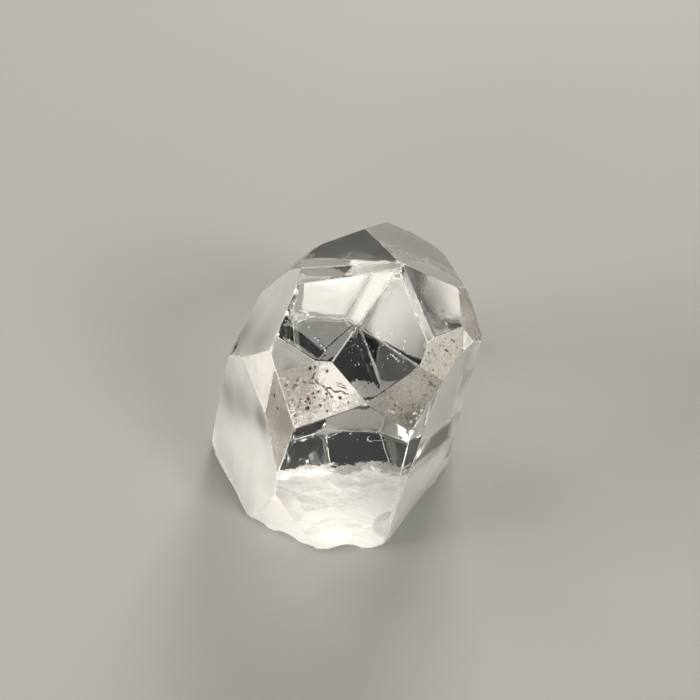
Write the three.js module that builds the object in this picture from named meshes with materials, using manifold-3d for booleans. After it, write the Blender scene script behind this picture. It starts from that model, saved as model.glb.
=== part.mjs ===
// A loose crystal of phenakite: a short, clear, six-sided prism under a steep crown of many faces.
// It stands on the uneven end where it broke from its rock, and its long axis leans a little to +X.
// Millimetres, +Z up. The origin is the middle of the crystal's box at the level it stands on.
//
// A crystal face is given by its bearing (degrees about +Z, 0 facing -Y and 90 facing +X), its tilt
// (degrees between its outward normal and straight up) and its reach (mm from the origin to its plane).

import * as THREE from 'three';
import { mergeVertices } from 'three/addons/utils/BufferGeometryUtils.js';
import Module from 'manifold-3d';

const wasm = await Module();
wasm.setup();

// ---- driving dimensions ----

const BLOCK = { width: 16, height: 13 }; // rough block that every face is cut from
const CUTTER = 40; // edge of the cube that takes away what lies beyond a face

const FACES = {
  // crown, front
  crownFrontLeft: { bearing: -18.5, tilt: 36, reach: 9.38 },
  crownFront: { bearing: -6.5, tilt: 39.5, reach: 9.34 },
  crownStrip: { bearing: 13, tilt: 35.5, reach: 10.16 },
  crownFrontRight: { bearing: 37, tilt: 35, reach: 10.58 },
  crownLeft: { bearing: -85, tilt: 54, reach: 7.26 },
  crownRight: { bearing: 80.5, tilt: 66, reach: 8.4 },
  crownRightCorner: { bearing: 60, tilt: 73, reach: 7.94 },
  crownLeftCorner: { bearing: -91.5, tilt: 50.5, reach: 7.64 },

  // growth steps and flat facets along the top
  topStepLower: { bearing: -37, tilt: 20, reach: 10.32 },
  topStepUpper: { bearing: -41, tilt: 18, reach: 10.4 },
  topBackLeft: { bearing: -165.5, tilt: 18.5, reach: 9.98 },
  topBackRight: { bearing: 135.5, tilt: 37, reach: 9.3 },

  // etched and matte facets between the crown and the prism
  etchedFront: { bearing: -16, tilt: 47, reach: 8.86 },
  ringedTriangle: { bearing: -21, tilt: 41, reach: 9.16 },
  matteFront: { bearing: 17, tilt: 71.5, reach: 7.58 },
  matteRight: { bearing: 33.5, tilt: 57, reach: 9.24 },
  striatedLeft: { bearing: -59.5, tilt: 73, reach: 6.14 },
  brownLeft: { bearing: -51.5, tilt: 72.5, reach: 6.46 },

  // prism, front
  prismLeft: { bearing: -63, tilt: 81.5, reach: 5.22 },
  prismFront: { bearing: 4, tilt: 85, reach: 6.0 },
  prismFrontRight: { bearing: 40, tilt: 91, reach: 5.7 },
  prismRight: { bearing: 55, tilt: 95.5, reach: 4.86 },

  // crown, back
  crownBackLeft: { bearing: -133.5, tilt: 52, reach: 7.05 },
  crownBackLeftUpper: { bearing: -121.5, tilt: 51, reach: 7.25 },
  crownBack: { bearing: -150.5, tilt: 43.5, reach: 8.08 },
  crownBackStrip: { bearing: 155, tilt: 71.5, reach: 8.22 },
  crownBackRight: { bearing: 115.5, tilt: 61.5, reach: 8.38 },
  shoulderLeft: { bearing: -108, tilt: 68, reach: 5.73 },
  shoulderRight: { bearing: 105, tilt: 69.5, reach: 7.48 },
  shoulderRightLower: { bearing: 99.5, tilt: 74, reach: 7.1 },

  // prism, back
  prismBackLeft: { bearing: -105, tilt: 77, reach: 5.1 },
  prismBackLeftNarrow: { bearing: -148, tilt: 84, reach: 5.68 },
  prismBack: { bearing: 174.5, tilt: 86.5, reach: 5.98 },
  prismBackRight: { bearing: 138, tilt: 96.5, reach: 5.25 },
  prismOuterRight: { bearing: 103, tilt: 93, reach: 4.7 },

  // flat breaks near the foot
  footLeft: { bearing: -71.5, tilt: 84, reach: 5.36 },
  footFrontLeft: { bearing: -28.5, tilt: 99.5, reach: 5.64 },
  footRight: { bearing: 76, tilt: 96.5, reach: 4.88 },
};

// shell-shaped flakes broken out of the foot: a corner of the rim, then how deep and steeply each bites
const FLAKES = [
  { x: -5.5, y: 0.5, radius: 4.2, bite: 0.3, dip: 38 },
  { x: -4.5, y: -3.1, radius: 2.4, bite: 0.16, dip: 62 },
  { x: -3.35, y: -4.7, radius: 1.7, bite: 0.18, dip: 44 },
  { x: -2.2, y: -5.45, radius: 1.2, bite: 0.26, dip: 40 },
  { x: -0.95, y: -6.0, radius: 2.2, bite: 0.14, dip: 64 },
  { x: 0.35, y: -6.08, radius: 1.1, bite: 0.3, dip: 45 },
  { x: 2.1, y: -5.85, radius: 1.5, bite: 0.22, dip: 56 },
  { x: 3.2, y: -4.35, radius: 3.4, bite: 0.2, dip: 66 },
  { x: 4.5, y: -1.9, radius: 1.8, bite: 0.24, dip: 40 },
  { x: 5.0, y: 1.2, radius: 5.0, bite: 0.46, dip: 34 },
  { x: 4.5, y: 3.6, radius: 2.0, bite: 0.26, dip: 52 },
  { x: 2.3, y: 5.9, radius: 2.4, bite: 0.14, dip: 40 },
  { x: -0.9, y: 6.04, radius: 2.6, bite: 0.16, dip: 46 },
  { x: -3.6, y: 4.6, radius: 3.4, bite: 0.46, dip: 60 },
  { x: -4.9, y: 2.4, radius: 1.6, bite: 0.3, dip: 35 },
];

// wide shallow shells in the broken underside, leaving the flat middle and back that it rests on
const HOLLOWS = [
  { x: -3.9, y: -1.9, radius: 7.2, depth: 0.42 },
  { x: 3.1, y: -3.6, radius: 5.4, depth: 0.3 },
  { x: 4.3, y: 0.6, radius: 4.4, depth: 0.34 },
  { x: -4.1, y: 3.3, radius: 3.6, depth: 0.4 },
  { x: -0.6, y: -5.2, radius: 3.8, depth: 0.22 },
];

// etch pits, placed on a face by `along` (level, to the right) and `up` (up the slope)
const PITS = [
  { face: 'etchedFront', along: 0.38, up: 2.25, radius: 0.15, depth: 0.08 },
  { face: 'etchedFront', along: 0.53, up: 2.47, radius: 0.11, depth: 0.06 },
  { face: 'etchedFront', along: 0.45, up: 1.93, radius: 0.12, depth: 0.06 },
  { face: 'etchedFront', along: 1.53, up: 2.53, radius: 0.13, depth: 0.07 },
  { face: 'etchedFront', along: 1.15, up: 1.97, radius: 0.1, depth: 0.05 },
  { face: 'etchedFront', along: 0.25, up: 3.33, radius: 0.12, depth: 0.06 },
  { face: 'etchedFront', along: 0.88, up: 3.38, radius: 0.11, depth: 0.05 },
  { face: 'etchedFront', along: -0.3, up: 2.26, radius: 0.14, depth: 0.05 },
  { face: 'etchedFront', along: 0.21, up: 1.59, radius: 0.1, depth: 0.05 },
  { face: 'matteFront', along: 1.35, up: 4.29, radius: 0.15, depth: 0.08 },
  { face: 'matteFront', along: 1.07, up: 4.7, radius: 0.13, depth: 0.07 },
  { face: 'matteFront', along: 1.24, up: 4.91, radius: 0.12, depth: 0.06 },
  { face: 'matteFront', along: 1.17, up: 4.42, radius: 0.11, depth: 0.06 },
  { face: 'matteFront', along: 1.5, up: 4.62, radius: 0.1, depth: 0.05 },
  { face: 'crownFront', along: 2.48, up: 2.88, radius: 0.11, depth: 0.05 },
  { face: 'crownFront', along: 2.7, up: 2.66, radius: 0.1, depth: 0.04 },
  { face: 'crownFrontLeft', along: 0.8, up: 2.37, radius: 0.12, depth: 0.05 },
  { face: 'brownLeft', along: 2.0, up: 5.61, radius: 0.11, depth: 0.05 },
];

// straight growth grooves: the face, one end and the other as along and up, and the groove's section
const GROOVES = [
  { face: 'striatedLeft', from: [0.5, 5.72], to: [2.12, 5.1], radius: 0.16, depth: 0.04 },
  { face: 'striatedLeft', from: [0.8, 6.04], to: [2.08, 5.54], radius: 0.14, depth: 0.03 },
  { face: 'striatedLeft', from: [1.12, 6.46], to: [1.98, 6.12], radius: 0.12, depth: 0.03 },
  { face: 'etchedFront', from: [0.42, 3.34], to: [0.5, 3.02], radius: 0.07, depth: 0.04 },
  { face: 'etchedFront', from: [0.52, 2.98], to: [1.04, 2.8], radius: 0.07, depth: 0.04 },
];

// upright growth lines that run down a prism face, from `top` to `bottom` up the slope
const GROWTH_LINE = { radius: 0.2, depth: 0.045 };
const LINED_FACES = [
  { face: 'prismBackLeft', lines: [-1.7, -0.9, 0.4, 1.3], bottom: 1.3, top: 5.6 },
  { face: 'prismBack', lines: [-1.0, 0.2, 0.9], bottom: 1.2, top: 5.4 },
  { face: 'prismBackRight', lines: [-1.6, -0.4, 1.5], bottom: 1.6, top: 5.8 },
  { face: 'prismOuterRight', lines: [-0.9, 0.8, 1.9], bottom: 1.6, top: 6.2 },
];

// small conchoidal chips on the sharp crown edges, as points in space and the ball that left each one
const CHIPS = [
  { x: 2.3, y: -1.36, z: 11.16, radius: 0.5, bite: 0.06 },
  { x: -1.62, y: -1.88, z: 9.93, radius: 0.7, bite: 0.04 },
  { x: -1.86, y: -2.46, z: 9.46, radius: 0.6, bite: 0.03 },
  { x: -3.98, y: -1.1, z: 6.55, radius: 1.1, bite: 0.05 },
  { x: 5.5, y: -1.78, z: 7.62, radius: 1.0, bite: 0.05 },
  { x: 4.34, y: 5.4, z: 6.2, radius: 1.4, bite: 0.12 },
];

const PIT_DETAIL = 1; // subdivisions of the balls that shape pits and chips
const FLAKE_DETAIL = 6; // finer balls for the larger broken shells
const GROOVE_SIDES = 8;

// ---- geometry helpers ----

const UP = new THREE.Vector3(0, 0, 1);
const LENGTHWAYS = new THREE.Vector3(0, 1, 0); // a CylinderGeometry's own axis

function faceFrame({ bearing, tilt, reach }) {
  const b = THREE.MathUtils.degToRad(bearing);
  const t = THREE.MathUtils.degToRad(tilt);
  const normal = new THREE.Vector3(Math.sin(t) * Math.sin(b), -Math.sin(t) * Math.cos(b), Math.cos(t));
  const along = new THREE.Vector3(Math.cos(b), Math.sin(b), 0);
  const up = new THREE.Vector3().crossVectors(normal, along);
  return { normal, along, up, foot: normal.clone().multiplyScalar(reach) };
}

function pointOnFace(frame, along, up) {
  return frame.foot.clone().addScaledVector(frame.along, along).addScaledVector(frame.up, up);
}

function toSolid(geometry) {
  const bare = geometry.clone();
  bare.deleteAttribute('normal');
  bare.deleteAttribute('uv');
  const merged = mergeVertices(bare, 1e-5);
  const vertProperties = Float32Array.from(merged.attributes.position.array);
  const triVerts = Uint32Array.from(merged.index.array);
  return new wasm.Manifold(new wasm.Mesh({ numProp: 3, vertProperties, triVerts }));
}

function toGeometry(solid) {
  const mesh = solid.getMesh();
  const geometry = new THREE.BufferGeometry();
  geometry.setAttribute('position', new THREE.BufferAttribute(mesh.vertProperties, mesh.numProp));
  geometry.setIndex(new THREE.BufferAttribute(mesh.triVerts, 1));
  return geometry;
}

// ---- the cuts ----

function roughBlock() {
  const { width, height } = BLOCK;
  return toSolid(new THREE.BoxGeometry(width, width, height).translate(0, 0, height / 2));
}

function beyondFace(face) {
  const { normal, foot } = faceFrame(face);
  const cube = new THREE.BoxGeometry(CUTTER, CUTTER, CUTTER).translate(0, 0, CUTTER / 2);
  cube.applyQuaternion(new THREE.Quaternion().setFromUnitVectors(UP, normal));
  return toSolid(cube.translate(foot.x, foot.y, foot.z));
}

function ballAt(centre, radius, detail) {
  const ball = new THREE.IcosahedronGeometry(radius, detail);
  return toSolid(ball.translate(centre.x, centre.y, centre.z));
}

function flakeBall({ x, y, radius, bite, dip }) {
  const outward = new THREE.Vector3(x, y, 0).normalize();
  const slope = THREE.MathUtils.degToRad(dip);
  const away = outward.multiplyScalar(Math.cos(slope)).addScaledVector(UP, -Math.sin(slope));
  const centre = new THREE.Vector3(x, y, 0).addScaledVector(away, radius - bite);
  return ballAt(centre, radius, FLAKE_DETAIL);
}

function hollowBall({ x, y, radius, depth }) {
  return ballAt(new THREE.Vector3(x, y, depth - radius), radius, FLAKE_DETAIL);
}

function pitBall({ face, along, up, radius, depth }) {
  const frame = faceFrame(FACES[face]);
  const centre = pointOnFace(frame, along, up).addScaledVector(frame.normal, radius - depth);
  return ballAt(centre, radius, PIT_DETAIL);
}

function chipBall({ x, y, z, radius, bite }) {
  const corner = new THREE.Vector3(x, y, z);
  const middle = new THREE.Vector3(0, 0, z / 2);
  const outward = corner.clone().sub(middle).normalize();
  return ballAt(corner.addScaledVector(outward, radius - bite), radius, PIT_DETAIL + 1);
}

function grooveRod({ face, from, to, radius, depth }) {
  const frame = faceFrame(FACES[face]);
  const start = pointOnFace(frame, ...from);
  const end = pointOnFace(frame, ...to);
  const run = end.clone().sub(start);
  const middle = start.add(end).multiplyScalar(0.5).addScaledVector(frame.normal, radius - depth);
  const rod = new THREE.CylinderGeometry(radius, radius, run.length(), GROOVE_SIDES);
  rod.applyQuaternion(new THREE.Quaternion().setFromUnitVectors(LENGTHWAYS, run.normalize()));
  return toSolid(rod.translate(middle.x, middle.y, middle.z));
}

function growthLineRods({ face, lines, bottom, top }) {
  return lines.map((along) => grooveRod({ face, from: [along, bottom], to: [along, top], ...GROWTH_LINE }));
}

// ---- the crystal ----

function phenakiteCrystal() {
  const cuts = [
    ...Object.values(FACES).map(beyondFace),
    ...FLAKES.map(flakeBall),
    ...HOLLOWS.map(hollowBall),
    ...PITS.map(pitBall),
    ...CHIPS.map(chipBall),
    ...GROOVES.map(grooveRod),
    ...LINED_FACES.flatMap(growthLineRods),
  ];
  const solid = cuts.reduce((body, cut) => body.subtract(cut), roughBlock());
  const material = new THREE.MeshStandardMaterial({ color: 0xe8eae6, roughness: 0.08, metalness: 0 });
  const crystal = new THREE.Mesh(toGeometry(solid), material);
  crystal.name = 'phenakite_crystal';
  return crystal;
}

const part = new THREE.Group();
part.add(phenakiteCrystal());

export default part;
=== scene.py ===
import math

import bmesh
import bpy
import numpy as np
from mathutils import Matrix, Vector, noise
from mathutils.geometry import delaunay_2d_cdt


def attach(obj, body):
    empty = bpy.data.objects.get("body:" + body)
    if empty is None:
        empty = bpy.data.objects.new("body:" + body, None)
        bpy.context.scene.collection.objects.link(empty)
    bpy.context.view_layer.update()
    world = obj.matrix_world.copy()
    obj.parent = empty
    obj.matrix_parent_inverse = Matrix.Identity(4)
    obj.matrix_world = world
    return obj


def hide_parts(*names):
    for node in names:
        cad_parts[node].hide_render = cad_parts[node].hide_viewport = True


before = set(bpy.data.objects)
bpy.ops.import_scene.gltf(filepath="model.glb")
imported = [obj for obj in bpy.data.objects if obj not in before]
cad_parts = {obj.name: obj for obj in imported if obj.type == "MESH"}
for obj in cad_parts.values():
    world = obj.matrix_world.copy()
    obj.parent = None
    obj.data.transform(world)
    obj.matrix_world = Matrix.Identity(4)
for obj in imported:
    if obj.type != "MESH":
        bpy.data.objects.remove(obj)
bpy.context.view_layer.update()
mm = 0.001

# every face of the crystal: bearing about +Z (0 looks to -Y), tilt from straight up,
# distance from the origin in mm, and the finish it grew or broke with
facets = {
    "crownFrontLeft": (-18.5, 36, 9.38, "polished"),
    "crownFront": (-6.5, 39.5, 9.34, "polished"),
    "crownStrip": (13, 35.5, 10.16, "polished"),
    "crownFrontRight": (37, 35, 10.58, "hazy"),
    "crownLeft": (-85, 54, 7.26, "cloudyShaded"),
    "crownRight": (80.5, 66, 8.4, "stained"),
    "crownRightCorner": (60, 73, 7.94, "polished"),
    "crownLeftCorner": (-91.5, 50.5, 7.64, "polished"),
    "topStepLower": (-37, 20, 10.32, "polished"),
    "topStepUpper": (-41, 18, 10.4, "polished"),
    "topBackLeft": (-165.5, 18.5, 9.98, "polished"),
    "topBackRight": (135.5, 37, 9.3, "polished"),
    "etchedFront": (-16, 47, 8.86, "etched"),
    "ringedTriangle": (-21, 41, 9.16, "ringed"),
    "matteFront": (17, 71.5, 7.58, "matted"),
    "matteRight": (33.5, 57, 9.24, "frosted"),
    "striatedLeft": (-59.5, 73, 6.14, "striated"),
    "brownLeft": (-51.5, 72.5, 6.46, "stained"),
    "prismLeft": (-63, 81.5, 5.22, "cloudyShaded"),
    "prismFront": (4, 85, 6.0, "polished"),
    "prismFrontRight": (40, 91, 5.7, "polished"),
    "prismRight": (55, 95.5, 4.86, "hazy"),
    "crownBackLeft": (-133.5, 52, 7.05, "polished"),
    "crownBackLeftUpper": (-121.5, 51, 7.25, "satin"),
    "crownBack": (-150.5, 43.5, 8.08, "satin"),
    "crownBackStrip": (155, 71.5, 8.22, "polished"),
    "crownBackRight": (115.5, 61.5, 8.38, "polished"),
    "shoulderLeft": (-108, 68, 5.73, "polished"),
    "shoulderRight": (105, 69.5, 7.48, "polished"),
    "shoulderRightLower": (99.5, 74, 7.1, "polished"),
    "prismBackLeft": (-105, 77, 5.1, "satin"),
    "prismBackLeftNarrow": (-148, 84, 5.68, "lined"),
    "prismBack": (174.5, 86.5, 5.98, "lined"),
    "prismBackRight": (138, 96.5, 5.25, "lined"),
    "prismOuterRight": (103, 93, 4.7, "lined"),
    "footLeft": (-71.5, 84, 5.36, "broken"),
    "footFrontLeft": (-28.5, 99.5, 5.64, "broken"),
    "footRight": (76, 96.5, 4.88, "broken"),
    "underside": (0, 180, 0.0, "broken"),
}

# sizes in mm
crystal = {
    "wearWidth": 0.045,      # how wide the rubbed edges are
    "whiteEdge": 0.036,      # how far in from an edge the rubbing shows white
    # and the edges that differ
    "whiteEdges": {("crownFrontLeft", "crownFront"): 0.065, ("etchedFront", "brownLeft"): 0.05,
                   ("etchedFront", "prismFront"): 0, ("etchedFront", "crownFront"): 0,
                   ("etchedFront", "ringedTriangle"): 0, ("matteFront", "crownFront"): 0,
                   ("matteFront", "prismFront"): 0, ("matteFront", "matteRight"): 0,
                   ("matteRight", "crownFrontRight"): 0},
    "block": 16,             # the block that the faces are cut from
    "edgeStep": 0.085,       # mesh spacing along an edge
    "edgeRows": (0.32, 0.68, 1.05),    # rows of points beside an edge, in wear widths
    "widestCell": 0.34,
    "meshStep": {            # mesh spacing in the open and beside an edge
        "polished": (0.34, 0.08), "cloudyShaded": (0.16, 0.08), "hazy": (0.16, 0.08), "lined": (0.14, 0.1),
        "satin": (0.14, 0.1), "etched": (0.05, 0.05), "ringed": (0.045, 0.045), "frosted": (0.05, 0.05),
        "matted": (0.05, 0.05), "striated": (0.06, 0.06), "stained": (0.06, 0.06),
        "broken": (0.085, 0.085),
    },
    "etchShare": {           # how much of the fine etching each finish takes
        "etched": 1.0, "frosted": 0.6, "matted": 0.8, "ringed": 0.1, "stained": 0.5, "striated": 0.2,
        "satin": 0.3,
    },
    # the underside broke smooth and glassy behind this line, x and y
    "glassyBehind": [(-5.5, 1.2), (-1.0, 2.7), (0.3, 2.5), (0.9, 2.85), (1.8, 2.85), (2.4, 2.1),
                     (2.7, 1.0), (5.8, -0.8)],
    "softCorners": [         # corners worn round: place and how far
        ((1.08, -5.27, 7.88), 0.30), ((-2.2, -3.05, 9.0), 0.22), ((-2.4, -3.36, 8.66), 0.16),
        ((-0.13, -4.06, 8.77), 0.10), ((2.74, -5.29, 6.38), 0.16), ((2.2, -1.6, 11.0), 0.12),
    ],
    "chips": [               # bites out of the crown's edges: place, ball radius, depth
        ((2.3, -1.36, 11.16), 0.5, 0.06), ((-1.62, -1.88, 9.93), 0.7, 0.04),
        ((-1.86, -2.46, 9.46), 0.6, 0.03), ((-3.98, -1.1, 6.55), 1.1, 0.05),
        ((4.34, 5.4, 6.2), 1.4, 0.12),
    ],
}

facetNames = list(facets)
finishes = [facet[3] for facet in facets.values()]

# little hollows on the faces, with iron in them, empty, or bright: along, up, radius, depth
pits = {
    "rusty": {
        "etchedFront": [(0.38, 2.25, 0.075, 0.04), (0.53, 2.47, 0.045, 0.03), (0.45, 1.93, 0.065, 0.04),
                        (1.53, 2.53, 0.065, 0.04), (1.15, 1.97, 0.045, 0.03), (0.25, 3.33, 0.06, 0.03),
                        (0.88, 3.38, 0.05, 0.03), (0.98, 2.32, 0.04, 0.02), (0.88, 2.12, 0.04, 0.02),
                        (1.86, 2.42, 0.045, 0.02), (0.62, 2.36, 0.045, 0.03), (0.7, 2.58, 0.035, 0.03),
                        (0.47, 2.12, 0.05, 0.03), (0.33, 2.14, 0.035, 0.02), (1.02, 2.56, 0.045, 0.03)],
        "brownLeft": [(2.0, 5.61, 0.065, 0.03), (2.31, 5.24, 0.07, 0.03)],
    },
    "bare": {
        "etchedFront": [(-0.3, 2.26, 0.15, 0.04), (-0.13, 2.55, 0.12, 0.04), (0.21, 1.59, 0.11, 0.05),
                        (0.02, 1.98, 0.08, 0.03), (-0.05, 2.9, 0.07, 0.02), (1.2, 2.5, 0.05, 0.02),
                        (0.75, 2.6, 0.05, 0.02), (1.55, 2.2, 0.05, 0.02)],
        "matteFront": [(1.35, 4.29, 0.11, 0.06), (1.07, 4.7, 0.12, 0.06), (1.24, 4.91, 0.09, 0.05),
                       (1.17, 4.42, 0.09, 0.05), (1.5, 4.62, 0.08, 0.05), (0.92, 4.9, 0.06, 0.03),
                       (1.4, 4.95, 0.06, 0.03), (1.6, 4.9, 0.05, 0.03), (0.56, 5.46, 0.06, 0.02),
                       (1.71, 5.59, 0.05, 0.02), (1.92, 5.95, 0.06, 0.02), (1.2, 5.2, 0.05, 0.02)],
        "matteRight": [(1.3, 4.67, 0.05, 0.02), (1.13, 4.94, 0.05, 0.02), (1.66, 4.91, 0.05, 0.02),
                       (0.82, 4.68, 0.06, 0.03), (1.12, 4.15, 0.06, 0.03), (0.54, 4.52, 0.05, 0.02)],
        "crownFrontRight": [(1.37, 1.59, 0.06, 0.015), (1.55, 2.08, 0.05, 0.015), (1.29, 2.99, 0.05, 0.015)],
    },
    # white frosted specks: partly frost and dust, partly painted glints
    "bright": {
        "crownFront": [(2.40, 2.90, 0.02, 0.01), (2.48, 2.86, 0.03, 0.01), (2.55, 2.80, 0.025, 0.01),
                       (2.62, 2.75, 0.035, 0.02), (2.70, 2.68, 0.025, 0.01), (2.74, 2.95, 0.03, 0.01),
                       (2.3, 2.74, 0.018, 0.01), (1.5, 3.2, 0.018, 0.01), (1.2, 3.1, 0.018, 0.01),
                       (1.3, 2.45, 0.022, 0.01), (1.72, 2.5, 0.022, 0.01), (2.1, 3.2, 0.015, 0.01)],
        "crownFrontLeft": [(0.8, 2.37, 0.04, 0.02), (0.74, 2.44, 0.03, 0.01), (0.62, 2.5, 0.04, 0.01),
                           (0.45, 2.66, 0.035, 0.01), (0.32, 2.71, 0.03, 0.01), (0.0, 3.05, 0.025, 0.01),
                           (-0.15, 3.2, 0.02, 0.01)],
        "prismFront": [(0.15, 5.95, 0.03, 0.01), (0.2, 6.05, 0.025, 0.01)],
        "etchedFront": [(0.2, 1.68, 0.04, 0.015), (0.22, 1.6, 0.045, 0.02), (0.17, 1.52, 0.05, 0.02),
                        (0.29, 1.49, 0.04, 0.015), (0.24, 1.42, 0.035, 0.015), (-0.16, 1.92, 0.035, 0.01),
                        (-0.1, 1.84, 0.03, 0.01), (0.02, 1.62, 0.03, 0.01), (0.1, 1.72, 0.03, 0.01)],
        "matteFront": [(0.64, 5.5, 0.035, 0.01), (0.44, 5.2, 0.05, 0.015), (0.32, 5.26, 0.04, 0.01),
                       (0.52, 5.14, 0.03, 0.01), (1.26, 4.92, 0.06, 0.02), (1.34, 4.9, 0.04, 0.02),
                       (1.12, 4.6, 0.05, 0.02), (1.37, 4.55, 0.05, 0.02), (1.54, 4.98, 0.05, 0.02),
                       (1.33, 4.7, 0.045, 0.02), (1.45, 4.8, 0.035, 0.01)],
    },
}

# fine lines scored or grown on the faces: points as along and up, width, depth
scores = {
    "etchedFront": [([(0.42, 3.45), (0.41, 3.3), (0.45, 3.2), (0.43, 3.05)], 0.045, 0.03),
                    ([(0.43, 3.05), (0.34, 2.92), (0.32, 2.82)], 0.03, 0.02),
                    ([(0.54, 2.98), (0.66, 2.84), (0.78, 2.87), (0.93, 2.74), (1.1, 2.8)], 0.032, 0.025),
                    ([(1.1, 2.8), (1.32, 2.7), (1.5, 2.76), (1.78, 2.72)], 0.024, 0.02),
                    ([(0.93, 2.74), (1.12, 2.6), (1.25, 2.5)], 0.02, 0.02),
                    ([(0.1, 2.82), (0.22, 2.78), (0.35, 2.86), (0.5, 2.82)], 0.026, 0.02),
                    ([(1.3, 3.05), (1.62, 2.98)], 0.018, 0.01), ([(1.35, 2.95), (1.7, 2.9)], 0.018, 0.01)],
    "prismFront": [([(0.83, 5.74), (0.77, 5.66), (0.79, 5.55), (0.92, 5.49)], 0.022, 0.008),
                   ([(0.95, 5.52), (1.5, 5.50)], 0.018, 0.004)],
    "crownFrontLeft": [([(0.62, 2.05), (1.62, 3.5), (2.4, 4.65)], 0.08, 0.0025)],
    "matteFront": [([(1.9, 6.1), (2.1, 5.85)], 0.03, 0.015)],
    "matteRight": [([(1.3, 4.67), (1.36, 4.56)], 0.03, 0.025), ([(1.66, 4.91), (1.72, 4.82)], 0.03, 0.025)],
}

# where a face mixes more (or, below 0, less) towards its finish's darker cloudy colour: along, up, how far,
# how much; on crownLeft and prismLeft these are painted shade, darker bands and spots on a lighter face
cloudAndShadeSpots = {
    "etchedFront": [(1.25, 3.0, 0.8, -0.8), (-0.4, 2.7, 0.8, 0.9), (0.9, 2.2, 0.7, 0.1)],
    "ringedTriangle": [(0.1, 2.2, 0.6, 0.5), (0.6, 2.9, 0.6, -0.3)],
    "brownLeft": [(2.75, 5.0, 0.5, 0.7), (2.1, 3.4, 0.8, -0.3)],
    "matteFront": [(1.3, 4.6, 0.6, 0.5), (1.3, 6.1, 0.7, -0.5)],
    "matteRight": [(1.4, 5.0, 0.7, -0.3)],
    "striatedLeft": [(1.6, 6.3, 0.8, -0.6)],
    "prismLeft": [(1.5, 3.0, 9.0, -0.27), (2.45, 5.05, 0.6, 0.65), (-0.5, 3.6, 0.9, 0.5),
                  (0.95, 4.4, 0.8, 0.36)],
    "crownLeft": [(1.0, 5.0, 9.0, -0.25), (0.9, 3.5, 1.1, 0.55), (2.3, 4.9, 0.8, 0.4)],
    "prismBackLeft": [(-2.05, 2.55, 0.75, -0.9), (-1.9, 0.0, 0.6, -0.5), (-0.3, 2.7, 0.9, 0.8)],
}

# shells broken out of the foot: point on its rim, ball radius, depth and how steeply it comes in
flakes = [
    (-5.5, 0.5, 4.2, 0.3, 38), (-4.5, -3.1, 2.4, 0.16, 62), (-3.35, -4.7, 1.7, 0.18, 44),
    (-2.2, -5.45, 1.2, 0.26, 40), (-0.95, -6.0, 2.2, 0.14, 64), (0.35, -6.08, 1.1, 0.3, 45),
    (2.1, -5.85, 1.5, 0.22, 56), (3.2, -4.35, 3.4, 0.2, 66), (4.5, -1.9, 1.8, 0.24, 40),
    (5.0, 1.2, 5.0, 0.46, 34), (4.5, 3.6, 2.0, 0.26, 52), (2.3, 5.9, 2.4, 0.14, 40),
    (-0.9, 6.04, 2.6, 0.16, 46), (-3.6, 4.6, 3.4, 0.46, 60), (-4.9, 2.4, 1.6, 0.3, 35),
]
# wide shallow shells under it: middle, ball radius, depth
hollows = [
    (-3.9, -1.9, 7.2, 0.42), (3.1, -3.6, 5.4, 0.3), (4.3, 0.6, 4.4, 0.34), (-4.1, 3.3, 3.6, 0.4),
    (-0.6, -5.2, 3.8, 0.22),
]


def facetFrames():
    # for every face: which way it looks, its two directions within the face, its distance
    bearing, tilt = (np.radians([facets[n][k] for n in facetNames]) for k in (0, 1))
    normal = np.stack([np.sin(tilt) * np.sin(bearing), -np.sin(tilt) * np.cos(bearing), np.cos(tilt)], 1)
    along = np.stack([np.cos(bearing), np.sin(bearing), 0 * bearing], 1)
    reach = np.array([facets[n][2] for n in facetNames])
    return normal, along, np.cross(normal, along), reach


normals, alongs, ups, reaches = facetFrames()


def toFlat(k, points):
    # along and up in face k
    return np.stack([points @ alongs[k], points @ ups[k]], 1)


def toSpace(k, flat):
    # back to x, y and z
    return normals[k] * reaches[k] + flat[:, :1] * alongs[k] + flat[:, 1:] * ups[k]


def cloud(p, size, seed=0):
    # soft noise, about -1 to 1, with lumps of the given size
    shift = Vector((seed * 3.1, seed * 7.7, seed * 1.3))
    return np.array([noise.noise(Vector(v) / size + shift) for v in p])


def smooth(t):
    # eases from 0 to 1
    t = np.clip(t, 0, 1)
    return t * t * (3 - 2 * t)


def cutBlock():
    # a block sawn down face by face; each new face keeps its number as its material
    bm = bmesh.new()
    bmesh.ops.create_cube(bm, size=crystal["block"])
    bmesh.ops.translate(bm, verts=bm.verts, vec=(0, 0, crystal["block"] / 2))
    for face in bm.faces:
        face.material_index = facetNames.index("underside")
    for k in range(len(facetNames) - 1):
        cut = bmesh.ops.bisect_plane(
            bm, geom=bm.verts[:] + bm.edges[:] + bm.faces[:], dist=1e-6,
            plane_co=normals[k] * reaches[k], plane_no=normals[k], clear_outer=True)
        rim = [e for e in cut["geom_cut"] if isinstance(e, bmesh.types.BMEdge)]
        for face in bmesh.ops.contextual_create(bm, geom=rim)["faces"]:
            face.material_index = k
    bmesh.ops.recalc_face_normals(bm, faces=bm.faces)
    return bm


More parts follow.
